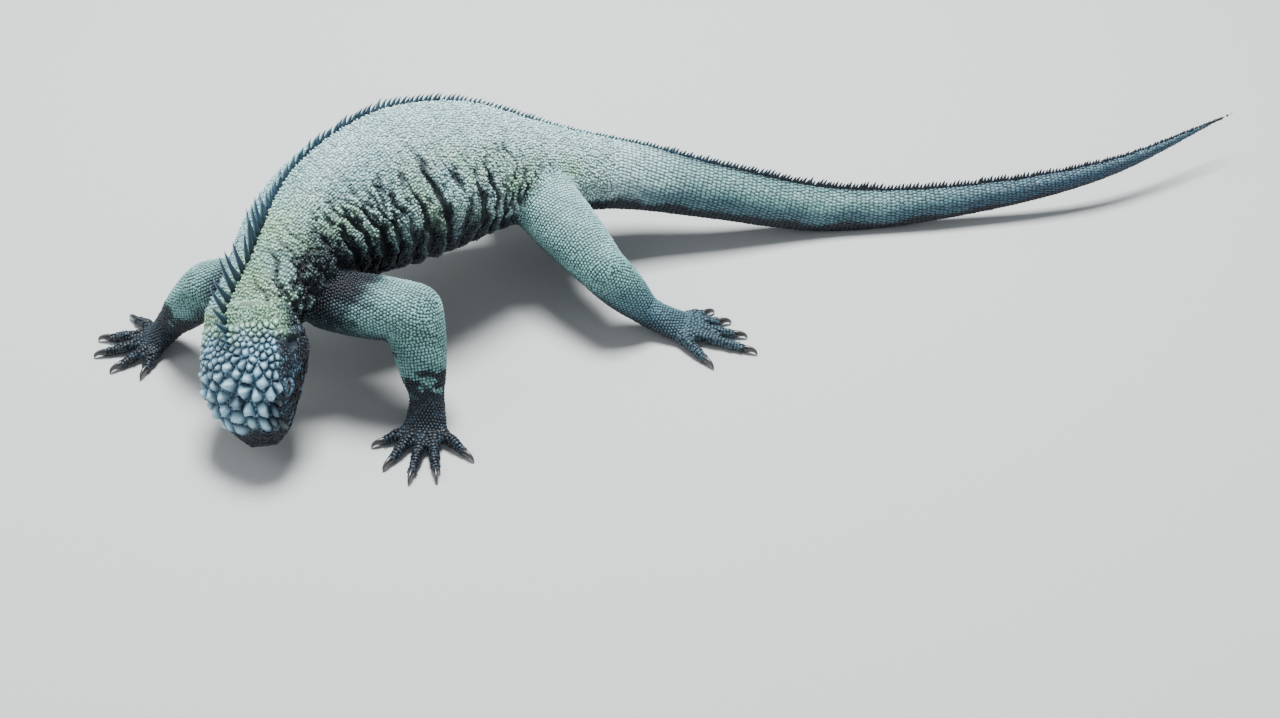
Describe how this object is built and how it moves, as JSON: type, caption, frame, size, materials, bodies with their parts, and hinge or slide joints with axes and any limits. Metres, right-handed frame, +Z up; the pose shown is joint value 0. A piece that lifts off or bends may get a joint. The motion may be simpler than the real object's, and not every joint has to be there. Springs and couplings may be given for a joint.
{
  "type": "marine iguana",
  "caption": "Life-size marine iguana grazing head down on all fours, with a spiny crest, wrinkled flanks and a long flattened tail stretched out behind.",
  "frame": {"origin": "under the middle of the whole animal's box, on the plane that its feet and tail rest on", "axes": "+X from the head towards the tip of the tail, +Z up, +Y to the animal's right"},
  "size_m": [0.9624, 0.4326, 0.1812],
  "materials": {
    "skin": "matte scaled skin, pale grey-green above and dark blue-black in its folds and beneath",
    "face": "matte raised scales, pale steel blue on the crown and dark slate on the sides",
    "claw": "smooth dark horn",
    "eye": "wet and dark brown"
  },
  "bodies": {
    "root": {"abdomen": "skin", "chest": "skin", "claw_foot_left_1": "claw", "claw_foot_left_2": "claw", "claw_foot_left_3": "claw", "claw_foot_left_4": "claw", "claw_foot_left_5": "claw", "claw_foot_right_1": "claw", "claw_foot_right_2": "claw", "claw_foot_right_3": "claw", "claw_foot_right_4": "claw", "claw_foot_right_5": "claw", "claw_hand_left_1": "claw", "claw_hand_left_2": "claw", "claw_hand_left_3": "claw", "claw_hand_left_4": "claw", "claw_hand_left_5": "claw", "claw_hand_right_1": "claw", "claw_hand_right_2": "claw", "claw_hand_right_3": "claw", "claw_hand_right_4": "claw", "claw_hand_right_5": "claw", "eye_left": "eye", "eye_right": "eye", "foot_left": "skin", "foot_right": "skin", "forearm_left": "skin", "forearm_right": "skin", "hand_left": "skin", "hand_right": "skin", "head": "face", "lower_jaw": "face", "neck": "skin", "pelvis": "skin", "shank_left": "skin", "shank_right": "skin", "tail_1": "skin", "tail_2": "skin", "tail_3": "skin", "tail_4": "skin", "thigh_left": "skin", "thigh_right": "skin", "upper_arm_left": "skin", "upper_arm_right": "skin"}
  },
  "joints": []
}
